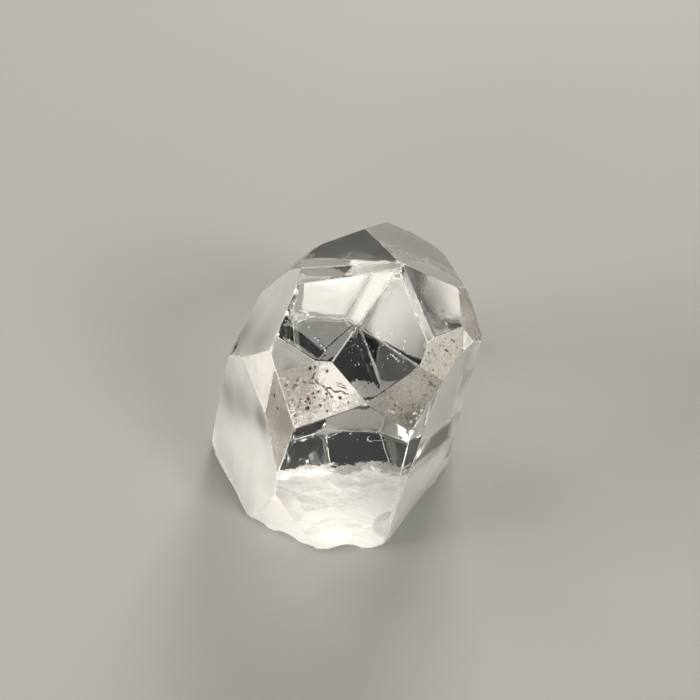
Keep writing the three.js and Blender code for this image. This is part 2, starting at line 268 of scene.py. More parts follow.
def scatterPits(rng):
    # crowds of small etch pits: middle, spread along and up, how many, largest radius
    crowds = {"etchedFront": [(-0.15, 2.2, 0.4, 0.45, 60, 0.07), (0.6, 2.2, 0.5, 0.25, 34, 0.05),
                              (0.1, 1.6, 0.25, 0.2, 20, 0.07)],
              "matteFront": [(1.3, 4.62, 0.25, 0.28, 30, 0.07), (1.1, 5.4, 0.6, 0.5, 40, 0.025)],
              "matteRight": [(1.2, 4.9, 0.5, 0.6, 60, 0.025)],
              "brownLeft": [(2.2, 5.4, 0.25, 0.6, 8, 0.03)]}
    for name, onFace in crowds.items():
        for a, u, wide, high, count, largest in onFace:
            for _ in range(count):
                radius = largest * rng.uniform(0.35, 1)
                pits["bare"].setdefault(name, []).append(
                    (rng.normal(a, wide), rng.normal(u, high), radius, radius * 0.55))
    # and short scratches that run much the same way
    scratches, width, depth = 13, 0.025, 0.02
    for _ in range(scratches):
        a, u = rng.uniform(0.4, 1.9), rng.uniform(4.0, 5.8)
        long, turn = rng.uniform(0.03, 0.09), rng.normal(2.2, 0.5)
        end = (a + long * math.cos(turn), u + long * math.sin(turn))
        scores["matteRight"].append(([(a, u), end], width, depth))


def scatterGlints(rng):
    # dust-sized white specks over the clear faces at the front, partly dust and partly painted glints:
    # ranges along and up, how many
    spread = {"crownFrontLeft": (-0.9, 3.6, 1.7, 5.6, 34), "crownFront": (0.9, 3.1, 2.2, 3.7, 46),
              "crownFrontRight": (0.4, 2.2, 1.2, 3.4, 10), "prismFront": (-1.8, 2.2, 4.4, 6.8, 18)}
    for name, (low, high, bottom, top, count) in spread.items():
        for _ in range(count):
            radius = 0.006 + 0.01 * rng.random() ** 2
            pits["bright"].setdefault(name, []).append(
                (rng.uniform(low, high), rng.uniform(bottom, top), radius, radius * 0.4))


def spotsOn(name):
    # every pit and speck of one face
    return np.array([s for kind in pits.values() for s in kind.get(name, [])]).reshape(-1, 4)


def lineGap(flat, line):
    # distance of each point to a broken line
    gap = np.full(len(flat), 9.0)
    for a, b in zip(line[:-1], line[1:]):
        a, way = np.array(a), np.subtract(b, a)
        t = np.clip(((flat - a) @ way) / (way @ way), 0, 1)
        gap = np.minimum(gap, np.linalg.norm(flat - a - t[:, None] * way, axis=1))
    return gap


def fillPoints(k, corners, rng):
    # points over one face: rows along its edges, and a grid that is finer where there is detail
    name = facetNames[k]
    turn = np.roll(corners, -1, 0) - corners
    inward = np.stack([-turn[:, 1], turn[:, 0]], 1) / np.linalg.norm(turn, axis=1)[:, None]
    offset = (inward * corners).sum(1)

    def depth(points):
        return (points @ inward.T - offset).min(1)

    wide, close = crystal["meshStep"][finishes[k]]
    widening = 0.4           # how fast the spacing grows away from a detail
    spots = spotsOn(name)

    def wanted(points):
        size = np.minimum(wide, close + 0.3 * np.maximum(depth(points), 0))
        for a, u, radius, _ in spots:
            gap = np.hypot(points[:, 0] - a, points[:, 1] - u) - radius
            size = np.minimum(size, radius * 0.42 + widening * np.maximum(gap, 0))
        for line, width, _ in scores.get(name, []):
            gap = lineGap(points, line) - width
            size = np.minimum(size, width * 0.5 + widening * np.maximum(gap, 0))
        return size

    # square cells, split in four until they are small enough, each with one point near its middle
    low, high = corners.min(0), corners.max(0)
    side, tooWide, jitter = crystal["widestCell"], 1.35, 0.16
    across, upward = (np.arange(low[i], high[i] + side, side) for i in (0, 1))
    gx, gy = np.meshgrid(across, upward)
    cells, kept = np.stack([gx.ravel(), gy.ravel()], 1), []
    quarters = np.array([(-1, -1), (1, -1), (1, 1), (-1, 1)])
    while len(cells):
        split = side > tooWide * wanted(cells)
        done = cells[~split]
        done = done + rng.uniform(-jitter, jitter, done.shape) * side
        kept.append(done[depth(done) > crystal["wearWidth"] * 1.2 + 0.3 * side])
        cells = cells[split]
        side /= 2
        cells = (cells[:, None] + side / 2 * quarters).reshape(-1, 2)
        cells = cells[depth(cells) > -side]
    rows = []
    for start, way, inn in zip(corners, turn, inward):
        n = max(1, round(np.linalg.norm(way) / crystal["edgeStep"]))
        t = np.linspace(0, 1, n + 1)[:, None]
        for row in crystal["edgeRows"]:
            gap = row * crystal["wearWidth"]
            line = start + way * t + inn * gap
            rows.append(line[depth(line) > gap * 0.93])
    rows = np.concatenate(rows)
    tooClose = crystal["wearWidth"] * 0.22
    first = np.unique(np.round(rows / tooClose), axis=0, return_index=True)[1]
    return np.concatenate([rows[np.sort(first)], *kept])


def meshFacets(rng):
    # one closed skin of small triangles; neighbouring faces share the points of their edge
    bm = cutBlock()
    bm.verts.index_update()
    made = [np.array([v.co[:] for v in bm.verts], float)]
    count = len(bm.verts)
    between = {}
    for e in bm.edges:
        a, b = e.verts
        n = max(1, round(e.calc_length() / crystal["edgeStep"]))
        t = np.linspace(0, 1, n + 1)[1:-1, None]
        made.append(np.array(a.co) * (1 - t) + np.array(b.co) * t)
        between[a.index, b.index] = list(range(count, count + n - 1))
        between[b.index, a.index] = between[a.index, b.index][::-1]
        count += n - 1
    shared = np.concatenate(made)
    made, corners, owners, members = [shared], [], [], []
    for face in bm.faces:
        k = face.material_index
        loop = [v.index for v in face.verts]
        ring = []
        for a, b in zip(loop, loop[1:] + loop[:1]):
            ring += [a] + between[a, b]
        inner = fillPoints(k, toFlat(k, shared[loop]), rng)
        names = ring + list(range(count, count + len(inner)))
        count += len(inner)
        made.append(toSpace(k, inner))
        flat = np.concatenate([toFlat(k, shared[ring]), inner])
        cut = delaunay_2d_cdt([Vector(p) for p in flat], [], [list(range(len(ring)))], 1, 1e-7)
        back = [names[same[0]] for same in cut[3]]
        corners += [[back[i] for i in tri] for tri in cut[2]]
        owners += [k] * len(cut[2])
        members.append((k, np.array(names)))
    bm.free()
    return np.concatenate(made), np.array(corners), np.array(owners), members


def roughness(p):
    # how far a point of the underside lies from its glassy part: below 0 in it, in mm
    x, y = zip(*crystal["glassyBehind"])
    return np.interp(p[:, 0], x, y) - p[:, 1] + 0.25 * cloud(p, 1.1, 30)


def relief(k, p, flat):
    # height over one face in mm, never above the face
    name, finish = facetNames[k], finishes[k]
    a, u = flat.T
    lane = np.zeros_like(p)
    h = 0.0016 * cloud(p, 1.5, 1) - 0.0018      # no face is quite flat
    if finish == "ringed":
        # rings round one spot, fading outwards
        tall, tight, fade = 0.0045, 36, 1.4
        r = np.hypot((a + 0.24) * 0.8, u - 2.44)
        h += tall * np.cos(r * tight + 1.2 * cloud(p, 0.3, 6)) * np.exp(-r * fade) - tall
    elif finish in ("cloudyShaded", "hazy"):
        tall = 0.004
        h += tall * cloud(p, 0.6, 4) - tall
    elif finish == "striated":
        # scalloped steps that cross the face at a slant
        across = a * 0.39 + u * 0.92 + 0.02 * cloud(p, 0.8, 8)
        lane[:, 0] = across * 6
        steps = (np.abs((across * 3.3) % 1 - 0.5) * 2) ** 2
        h += 0.010 * steps + 0.008 * cloud(lane, 1, 9) - 0.02
    elif finish == "lined":
        # long growth lines up the prism, coarse and fine
        lane[:] = np.stack([a * 2.2, u * 0.12, 0 * a + k], 1)
        h += 0.008 * cloud(lane, 1, 12) + 0.003 * cloud(lane * (3.2, 1.6, 1), 1, 13) - 0.011
    elif finish == "satin":
        # the same lines, softened
        lane[:] = np.stack([a * 3, u * 0.15, 0 * a + k], 1)
        h += 0.012 * cloud(lane, 1, 10) + 0.006 * cloud(p, 0.25, 11) - 0.018
    elif finish == "broken":
        # lumps of three sizes and curved ribs, which die out where the break is glassy
        ribs = p[:, 0] * 0.8 - p[:, 1] * 0.6 + 0.9 * cloud(p, 1.7, 14)
        low = 0.12 * cloud(p, 1.8, 15) + 0.07 * cloud(p, 0.7, 16) + 0.02 * cloud(p, 0.25, 17)
        low += 0.03 * np.sin(ribs * 4) * np.clip(cloud(p, 2.2, 18) + 0.3, 0, 1)
        h = np.minimum(0, low - 0.03 if name == "underside" else 0.35 * low - 0.04)
        if name == "underside":
            h *= 0.02 + 0.98 * smooth((roughness(p) - 0.2) / 1.4)
    return h


def hollowsIn(k, p, flat):
    # depth of the pits and lines on a face, with the iron stain, the white specks (frost and painted
    # glints), darkening round the bare pits and along the lines, and near-black marks: painted shade on one
    # side of the larger bare pits, and the middle of each line
    name, clear = facetNames[k], finishes[k] == "polished"
    stainReach, frostAndGlintReach, smallestShadedPit = 1.55, 1.05, 0.062     # in pit radii, and in mm
    h, rust, frostAndGlints, shade, pitShadeAndLines = np.zeros((5, len(flat)))
    if not clear:
        flat = flat + 0.03 * np.stack([cloud(p, 0.11, 50), cloud(p, 0.11, 51)], 1)
    for kind, byFace in pits.items():
        for a, u, radius, depth in byFace.get(name, []):
            r = np.hypot(flat[:, 0] - a, flat[:, 1] - u) / radius
            h = np.minimum(h, -depth * np.clip(1 - r * r, 0, 1) ** 1.5)
            if kind == "rusty":
                rust = np.maximum(rust, smooth(stainReach - r))
            if kind == "bright":
                frostAndGlints = np.maximum(frostAndGlints, r < frostAndGlintReach)
            if kind == "bare":
                shade = np.maximum(shade, 0.9 * smooth(1.6 - 1.1 * r))
                # painted shade: a near-black crescent on the upper-left inner side of each larger bare pit
                side = np.hypot(flat[:, 0] - a + 0.3 * radius, flat[:, 1] - u - 0.3 * radius) / radius
                ring = (abs(side - 0.55) < 0.3) * (r < 1.1) * (radius > smallestShadedPit)
                pitShadeAndLines = np.maximum(pitShadeAndLines, ring * (cloud(p, 0.15, 53) > 0.08))
    for line, width, depth in scores.get(name, []):
        r = lineGap(flat, line) / width
        h -= depth * np.clip(1 - r * r, 0, 1)
        if not clear:
            shade = np.maximum(shade, 1.4 * smooth(1.5 - r))
            # near-black along the middle of each line
            pitShadeAndLines = np.maximum(pitShadeAndLines, (r < 0.9) * (cloud(p, 0.12, 52) > -0.15))
    return h, rust, frostAndGlints, shade, pitShadeAndLines


def shapeFacets(points, members):
    # sinks the edges, pits and growth marks into the flat faces
    move, wear = np.zeros((2, *points.shape))
    seen, rust, frostAndGlints, rub, etch, cloudAndShade, pitShadeAndLines = np.zeros((7, len(points)))
    whiteEdges = crystal["whiteEdges"]
    for k, ids in members:
        p = points[ids]
        flat = toFlat(k, p)
        turn = np.arccos(np.clip(normals @ normals[k], -1, 1))
        inside = reaches - p @ normals.T
        uneven = 1 + 0.4 * cloud(p, 0.6, 20) + 0.2 * cloud(p, 0.15, 21)
        width = crystal["wearWidth"] * np.clip(uneven, 0.5, 1.7)
        for place, soft in crystal["softCorners"]:
            width += soft * np.clip(1 - np.linalg.norm(p - place, axis=1) / (2.2 * soft), 0, 1) ** 2
        sink, near = np.zeros_like(p), np.full(len(p), 9.0)
        for j in range(len(facetNames)):
            if j == k or turn[j] > 3:       # itself, or a face that looks the other way
                continue
            gap = inside[:, j] / math.sin(turn[j])
            out = (normals[k] + normals[j]) / np.linalg.norm(normals[k] + normals[j])
            share = np.clip(1 - np.maximum(gap, 0) / width, 0, 1) ** 2
            drop = 0.5 * width * math.tan(turn[j] / 2) / math.cos(turn[j] / 2) * share
            sink -= drop[:, None] * out
            near = np.minimum(near, gap)
            pair = facetNames[k], facetNames[j]
            wide = whiteEdges.get(pair, whiteEdges.get(pair[::-1], crystal["whiteEdge"]))
            if wide:
                rub[ids] = np.maximum(rub[ids], smooth(1 - gap / wide))
        h, stain, white, shade, dark = hollowsIn(k, p, flat)
        fade = smooth(near / 0.12) * 0.85 + 0.15        # shallower towards the edges
        move[ids] += ((h + relief(k, p, flat)) * fade)[:, None] * normals[k]
        wear[ids] += sink
        seen[ids] += 1
        rust[ids] = np.maximum(rust[ids], stain)
        frostAndGlints[ids] = np.maximum(frostAndGlints[ids], white)
        pitShadeAndLines[ids] = np.maximum(pitShadeAndLines[ids], dark)
        cloudAndShade[ids] += shade
        for a, u, wide, much in cloudAndShadeSpots.get(facetNames[k], []):
            cloudAndShade[ids] += much * np.exp(-((flat[:, 0] - a) ** 2 + (flat[:, 1] - u) ** 2) / wide ** 2)
        etch[ids] = np.maximum(etch[ids], crystal["etchShare"].get(finishes[k], 0) * (near > 0.02))
    return points + move + wear / seen[:, None], rust, frostAndGlints, rub, etch, cloudAndShade, pitShadeAndLines


def pushOut(p, middle, radius):
    # what lies inside the ball moves out to its skin, which leaves a shell-shaped break
    away = p - middle
    gap = np.linalg.norm(away, axis=1)
    inside = gap < radius
    p[inside] = middle + away[inside] * (radius / gap[inside])[:, None]
    return inside


def breakFoot(p):
    # takes the shells and chips out, and says which points of the foot are broken
    broken = np.zeros(len(p), bool)
    for x, y, radius, bite, dip in flakes:
        out = np.array([x, y, 0]) / math.hypot(x, y)
        way = out * math.cos(math.radians(dip)) - np.array([0, 0, math.sin(math.radians(dip))])
        broken |= pushOut(p, np.array([x, y, 0]) + way * (radius - bite), radius)
    for x, y, radius, depth in hollows:
        broken |= pushOut(p, np.array([x, y, depth - radius]), radius)
    for place, radius, bite in crystal["chips"]:
        way = np.subtract(place, (0, 0, place[2] / 2))
        pushOut(p, place + way / np.linalg.norm(way) * (radius - bite), radius)
    return broken


finishNames = ["polished", "hazy", "cloudyShaded", "etched", "ringed", "frosted", "matted", "striated",
               "stained", "lined", "satin", "broken", "cloudyBreak", "clearBreak", "rubbed",
               "etchedWhite", "pitShadeAndLinesBlack", "rusty"]
rng = np.random.default_rng(7)
scatterPits(rng)
scatterGlints(rng)
points, triangles, owners, members = meshFacets(rng)
print("flat faces meshed:", len(triangles), "triangles")
shaped, rust, frostAndGlints, rub, etch, cloudAndShade, pitShadeAndLines = shapeFacets(points, members)
broken = breakFoot(shaped)

# how far each painted value has to go before a triangle changes its finish
limits = {"cloudyBreak": 0.9, "clearBreak": 0, "etchedWhite": -0.3, "rubbed": 0.5, "gapsInRubbing": -0.3,
          "frostAndGlints": 0.6, "pitShadeAndLines": 0.6, "rust": 0.93}
middles = points[triangles].mean(1)
# per triangle; frosted is the mean of the specks that are partly frost, partly painted glints
rubbed, frosted, pitShadeAndLinesMean, rusted, cloudAndShadeMean = (
    value[triangles].mean(1) for value in (rub, frostAndGlints, pitShadeAndLines, rust, cloudAndShade))
finishOf = np.array([finishNames.index(finishes[k]) for k in owners])
under = owners == facetNames.index("underside")
onEtched = owners == facetNames.index("etchedFront")
fringe = roughness(middles) + 0.35 * cloud(middles, 0.3, 42) + 0.07 * rng.standard_normal(len(middles))
patchy = cloudAndShadeMean + 0.3 * cloud(middles, 0.2, 41) + 0.1 * rng.standard_normal(len(middles))
edgeLine = (rubbed > limits["rubbed"]) & (cloud(middles, 0.35, 40) > limits["gapsInRubbing"])
for name, where in (
        ("cloudyBreak", under & (fringe < limits["cloudyBreak"])),
        ("clearBreak", under & (fringe < limits["clearBreak"])),
        ("etchedWhite", onEtched & (patchy < limits["etchedWhite"])),
        # rubbed white: worn edges, and the specks that are partly frost, partly painted glints
        ("rubbed", edgeLine | (frosted > limits["frostAndGlints"])),
        ("broken", broken[triangles].all(1) & ~under),
        # near-black: painted shade in the larger bare pits, and the middle of the scored lines
        ("pitShadeAndLinesBlack", pitShadeAndLinesMean > limits["pitShadeAndLines"]),
        ("rusty", rusted > limits["rust"])):
    finishOf[where] = finishNames.index(name)
print("edges, pits and breaks shaped")


def newTree(name, kind, inputs, outputs):
    # an empty node group with its named inputs and outputs
    tree = bpy.data.node_groups.new(name, kind)
    for way, sockets in (("INPUT", inputs), ("OUTPUT", outputs)):
        for label, socketKind, value in sockets:
            socket = tree.interface.new_socket(label, in_out=way, socket_type="NodeSocket" + socketKind)
            if value is not None:
                socket.default_value = value
    return tree, tree.nodes.new("NodeGroupInput"), tree.nodes.new("NodeGroupOutput")


def addNode(tree, kind, settings=None, values=None, **links):
    # a node with its settings, its plain input values, and its linked inputs by number
    node = tree.nodes.new(kind)
    for key, value in (settings or {}).items():
        setattr(node, key, value)
    for key, value in (values or {}).items():
        node.inputs[key].default_value = value
    for key, source in links.items():
        tree.links.new(source, node.inputs[int(key[1:])])
    return node


def calc(tree, how, a, b=None, clamp=False):
    # one sum of two values, each plain or linked
    node = addNode(tree, "ShaderNodeMath", {"operation": how, "use_clamp": clamp})
    for socket, value in zip(node.inputs, (a, b)):
        if isinstance(value, (int, float)):
            socket.default_value = value
        elif value is not None:
            tree.links.new(value, socket)
    return node.outputs[0]


def cloudField():
    # cloudy field from 0 to 1, its lumps `size` mm across and stretched `stretch` times up the crystal
    tree, given, out = newTree("cloudField", "ShaderNodeTree", [
        ("size", "Float", 1.0), ("stretch", "Float", 1.0), ("detail", "Float", 3.0),
        ("wander", "Float", 0.0), ("contrast", "Float", 1.0)], [("value", "Float", None)])
    get = given.outputs
    place = addNode(tree, "ShaderNodeTexCoord").outputs["Object"]
    scale = calc(tree, "DIVIDE", 1 / mm, get["size"])
    upright = calc(tree, "DIVIDE", 1, get["stretch"])
    shape = addNode(tree, "ShaderNodeCombineXYZ", values={0: 1, 1: 1}, i2=upright)
    squeezed = addNode(tree, "ShaderNodeVectorMath", {"operation": "MULTIPLY"}, i0=place,
                       i1=shape.outputs[0])
    spot = addNode(tree, "ShaderNodeTexNoise", values={"Roughness": 0.55}, i0=squeezed.outputs[0],
                   i2=scale, i3=get["detail"], i8=get["wander"])
    # noise keeps near its middle, so it is spread to fill 0 to 1
    middle, fill = 0.5, 2.2
    spread = calc(tree, "MULTIPLY", calc(tree, "SUBTRACT", spot.outputs["Fac"], middle), get["contrast"])
    filled = calc(tree, "ADD", calc(tree, "MULTIPLY", spread, fill), middle, clamp=True)
    tree.links.new(filled, out.inputs[0])
    return tree


def speckField():
    # small scattered specks: 1 in a speck, 0 between them
    tree, given, out = newTree("speckField", "ShaderNodeTree", [
        ("size", "Float", 0.1), ("share", "Float", 0.3), ("softness", "Float", 0.1)],
        [("value", "Float", None)])
    get = given.outputs
    cellsPerMetre, largest = 330, 1.2       # a cell is three specks wide
    place = addNode(tree, "ShaderNodeTexCoord").outputs["Object"]
    scale = calc(tree, "DIVIDE", cellsPerMetre, get["size"])
    cells = addNode(tree, "ShaderNodeTexVoronoi", i0=place, i2=scale)
    tone = addNode(tree, "ShaderNodeSeparateColor", i0=cells.outputs["Color"])
    radius = calc(tree, "MULTIPLY", calc(tree, "SUBTRACT", get["share"], tone.outputs[0]), largest)
    inside = calc(tree, "SUBTRACT", radius, cells.outputs["Distance"])
    soft = calc(tree, "DIVIDE", inside, get["softness"], clamp=True)
    tree.links.new(soft, out.inputs[0])
    return tree


def skin():
    # colour, roughness and height of a crystal skin, from clouds, specks and the iron stain on it
    tree, given, out = newTree("crystalSkin", "ShaderNodeTree", [
        ("clear colour", "Color", (1, 1, 1, 1)), ("cloudy colour", "Color", (1, 1, 1, 1)),
        ("speck colour", "Color", (1, 1, 1, 1)), ("stain colour", "Color", (0.28, 0.12, 0.045, 1)),
        ("smooth", "Float", 0.02), ("rough", "Float", 0.05), ("cloud size", "Float", 1.0),
        ("cloud stretch", "Float", 1.0), ("cloud wander", "Float", 0.6), ("cloud contrast", "Float", 1.0),
        ("speck size", "Float", 0.1), ("speck share", "Float", 0.2), ("grain size", "Float", 0.08),
        ("stain", "Float", 0.0)],
        [("colour", "Color", None), ("roughness", "Float", None), ("height", "Float", None)])
    get = given.outputs

    def group(which, **values):
        node = addNode(tree, "ShaderNodeGroup", {"node_tree": which})
        for key, value in values.items():
            if isinstance(value, (int, float)):
                node.inputs[key].default_value = value
            else:
                tree.links.new(value, node.inputs[key])
        return node.outputs[0]

    def blend(fac, a, b):
        mix = addNode(tree, "ShaderNodeMix", {"data_type": "RGBA"})
        for key, value in ((0, fac), (6, a), (7, b)):
            tree.links.new(value, mix.inputs[key])
        return mix.outputs[2]

    def painted(name):
        return addNode(tree, "ShaderNodeAttribute", {"attribute_name": name}).outputs["Fac"]

    clouds = group(groups["cloudField"], size=get["cloud size"], stretch=get["cloud stretch"],
                   wander=get["cloud wander"], contrast=get["cloud contrast"], detail=4)
    # the painted attribute mixes in cloud, and on some faces painted shade
    clouds = calc(tree, "ADD", clouds, painted("cloudAndShade"), clamp=True)
    grain = group(groups["cloudField"], size=get["grain size"], detail=2)
    specks = group(groups["speckField"], size=get["speck size"], share=get["speck share"], softness=0.12)
    grainy = calc(tree, "ADD", calc(tree, "MULTIPLY", grain, 0.5), 0.75)
    iron = calc(tree, "MULTIPLY", painted("rust"), grainy)
    tint = group(groups["cloudField"], size=0.5, detail=3, contrast=1.6)
    iron = calc(tree, "ADD", iron, calc(tree, "MULTIPLY", tint, get["stain"]), clamp=True)
    colour = blend(specks, blend(clouds, get["clear colour"], get["cloudy colour"]), get["speck colour"])
    tree.links.new(blend(iron, colour, get["stain colour"]), out.inputs[0])
    uneven = calc(tree, "MULTIPLY", clouds, calc(tree, "SUBTRACT", get["rough"], get["smooth"]))
    dulled = calc(tree, "ADD", uneven, calc(tree, "MULTIPLY", iron, 0.2))
    tree.links.new(calc(tree, "ADD", get["smooth"], dulled), out.inputs[1])
    tree.links.new(calc(tree, "ADD", grain, calc(tree, "MULTIPLY", specks, -0.8)), out.inputs[2])
    return tree


groups = {}
for make in (cloudField, speckField, skin):
    groups[make.__name__] = make()


def crystalMaterial(name, look):
    # one finish: the shared skin, with the look's own values, in a clear or opaque body
    mat = bpy.data.materials.new(name)
    mat.use_nodes = True
    tree = mat.node_tree
    shader = tree.nodes["Principled BSDF"]
    shader.inputs["IOR"].default_value = look.get("ior", 1.66)   # phenakite
    shader.inputs["Transmission Weight"].default_value = look["transmission"]
    node = addNode(tree, "ShaderNodeGroup", {"node_tree": groups["skin"]})
    for key, value in look.items():
        if key in node.inputs:
            node.inputs[key].default_value = (*value, 1) if key.endswith("colour") else value
    tree.links.new(node.outputs["colour"], shader.inputs["Base Color"])
    tree.links.new(node.outputs["roughness"], shader.inputs["Roughness"])
    if look["relief"]:
        bump = addNode(tree, "ShaderNodeBump", values={"Strength": 1.0, "Distance": look["relief"] * mm})
        tree.links.new(node.outputs["height"], bump.inputs["Height"])
        tree.links.new(bump.outputs[0], shader.inputs["Normal"])
    return mat


# the clear growth faces, then what has been etched, grown rough, rubbed or broken, then the near-black marks
# (painted shade in pits, and line middles) and the iron
finishLooks = {
    "polished": {"clear colour": (0.985, 0.985, 0.978), "cloudy colour": (0.965, 0.965, 0.955),
                 "speck colour": (0.93, 0.93, 0.91), "smooth": 0.004, "rough": 0.02, "cloud size": 2.2,
                 "speck size": 0.06, "speck share": 0.1, "transmission": 1.0, "relief": 0},
    "hazy": {"clear colour": (0.985, 0.985, 0.975), "cloudy colour": (0.93, 0.93, 0.915),
             "speck colour": (0.85, 0.85, 0.83), "smooth": 0.03, "rough": 0.16, "cloud size": 0.9,
             "cloud stretch": 3.0, "speck size": 0.07, "speck share": 0.1, "grain size": 0.09,
             "transmission": 0.94, "relief": 0.0015},
    # the near-black cloudy colour here paints shade on crownLeft and prismLeft, darker where their spots
    # push it
    "cloudyShaded": {"clear colour": (0.99, 0.99, 0.98), "cloudy colour": (0.16, 0.158, 0.15),
                "speck colour": (0.8, 0.8, 0.78), "smooth": 0.26, "rough": 0.36, "cloud size": 1.1,
                "cloud stretch": 2.2, "cloud wander": 0.2, "cloud contrast": 0.22, "speck size": 0.07,
                "speck share": 0.1, "grain size": 0.09, "transmission": 0.6, "relief": 0.003},
    "etched": {"clear colour": (0.99, 0.98, 0.95), "cloudy colour": (0.54, 0.515, 0.465),
               "speck colour": (0.34, 0.27, 0.2), "smooth": 0.1, "rough": 0.28, "cloud size": 0.7,
               "speck size": 0.06, "speck share": 0.26, "grain size": 0.07, "transmission": 0.55,
               "relief": 0.014, "stain": 0.03},
    "ringed": {"clear colour": (0.78, 0.775, 0.755), "cloudy colour": (0.34, 0.333, 0.315),
               "speck colour": (0.5, 0.48, 0.45), "smooth": 0.16, "rough": 0.3, "cloud size": 1.2,
               "speck size": 0.07, "speck share": 0.1, "grain size": 0.09, "transmission": 0.45,
               "relief": 0.002},
    "frosted": {"clear colour": (0.98, 0.945, 0.875), "cloudy colour": (0.56, 0.53, 0.475),
                "speck colour": (0.2, 0.18, 0.15), "smooth": 0.36, "rough": 0.55, "cloud size": 0.1,
                "speck size": 0.034, "speck share": 0.3, "grain size": 0.05, "transmission": 0.3,
                "relief": 0.03},
    "matted": {"clear colour": (0.58, 0.55, 0.495), "cloudy colour": (0.18, 0.167, 0.143),
               "speck colour": (0.12, 0.105, 0.08), "smooth": 0.36, "rough": 0.55, "cloud size": 0.1,
               "speck size": 0.034, "speck share": 0.42, "grain size": 0.05, "transmission": 0.4,
               "relief": 0.035},
    "striated": {"clear colour": (0.96, 0.955, 0.935), "cloudy colour": (0.72, 0.71, 0.68),
                 "speck colour": (0.5, 0.48, 0.44), "smooth": 0.14, "rough": 0.3, "cloud size": 0.6,
                 "speck size": 0.07, "speck share": 0.14, "grain size": 0.07, "transmission": 0.45,
                 "relief": 0.004},
    "stained": {"clear colour": (0.43, 0.41, 0.365), "cloudy colour": (0.2, 0.185, 0.155),
                "speck colour": (0.3, 0.24, 0.18), "smooth": 0.22, "rough": 0.4, "cloud size": 0.3,
                "cloud stretch": 5.0, "speck size": 0.09, "speck share": 0.16, "grain size": 0.07,
                "transmission": 0.4, "relief": 0.006, "stain": 0.06},
    "lined": {"clear colour": (0.985, 0.985, 0.978), "cloudy colour": (0.95, 0.95, 0.94),
              "speck colour": (0.9, 0.9, 0.88), "smooth": 0.015, "rough": 0.06, "cloud size": 0.5,
              "cloud stretch": 9.0, "speck size": 0.08, "speck share": 0.1, "transmission": 1.0,
              "relief": 0},
    "satin": {"clear colour": (0.99, 0.99, 0.98), "cloudy colour": (0.68, 0.67, 0.645),
              "speck colour": (0.6, 0.59, 0.56), "smooth": 0.3, "rough": 0.45, "cloud size": 1.1,
              "cloud stretch": 2.0, "speck size": 0.05, "speck share": 0.15, "grain size": 0.07,
              "transmission": 0.85, "relief": 0.008},
    "broken": {"clear colour": (1.0, 0.995, 0.985), "cloudy colour": (0.9, 0.895, 0.88),
               "speck colour": (0.9, 0.9, 0.88), "smooth": 0.34, "rough": 0.55, "cloud size": 1.8,
               "speck size": 0.12, "speck share": 0.1, "grain size": 0.14, "transmission": 0.6,
               "relief": 0.01},
    "cloudyBreak": {"clear colour": (0.985, 0.985, 0.975), "cloudy colour": (0.85, 0.85, 0.835),
                    "speck colour": (0.95, 0.95, 0.94), "smooth": 0.16, "rough": 0.34, "cloud size": 0.7,
                    "speck size": 0.09, "speck share": 0.1, "grain size": 0.14, "transmission": 0.7,
                    "relief": 0.006},
    "clearBreak": {"clear colour": (0.985, 0.985, 0.978), "cloudy colour": (0.96, 0.96, 0.95),
                   "speck colour": (0.95, 0.95, 0.94), "smooth": 0.015, "rough": 0.05, "cloud size": 1.4,
                   "speck size": 0.09, "speck share": 0.1, "transmission": 1.0, "relief": 0},
    "rubbed": {"clear colour": (0.995, 0.995, 0.985), "cloudy colour": (0.9, 0.9, 0.885),
               "speck colour": (0.8, 0.79, 0.77), "smooth": 0.24, "rough": 0.38, "cloud size": 0.3,
               "speck size": 0.06, "speck share": 0.15, "grain size": 0.04, "transmission": 0.5,
               "relief": 0.004},
    "etchedWhite": {"clear colour": (1.0, 0.99, 0.97), "cloudy colour": (0.88, 0.86, 0.82),
                    "speck colour": (0.5, 0.45, 0.38), "smooth": 0.2, "rough": 0.4, "cloud size": 0.5,
                    "speck size": 0.06, "speck share": 0.16, "grain size": 0.07, "transmission": 0.3,
                    "relief": 0.01},
    # near-black, for the painted shade in the larger bare pits and the middle of the scored lines
    "pitShadeAndLinesBlack": {"clear colour": (0.05, 0.042, 0.034), "cloudy colour": (0.13, 0.11, 0.09),
              "speck colour": (0.02, 0.017, 0.014), "stain colour": (0.09, 0.045, 0.022),
              "smooth": 0.5, "rough": 0.75, "cloud size": 0.1, "speck size": 0.03, "speck share": 0.2,
              "grain size": 0.04, "transmission": 0.0, "ior": 1.5, "relief": 0.004},
    "rusty": {"clear colour": (0.03, 0.01, 0.006), "cloudy colour": (0.012, 0.006, 0.004),
              "speck colour": (0.06, 0.02, 0.009), "stain colour": (0.05, 0.016, 0.008),
              "smooth": 0.6, "rough": 0.85, "cloud size": 0.06, "speck size": 0.03, "speck share": 0.2,
              "grain size": 0.02, "transmission": 0.0, "ior": 1.5, "relief": 0.004},
}
materials = [crystalMaterial(name, finishLooks[name]) for name in finishNames]
print("materials made:", len(materials))


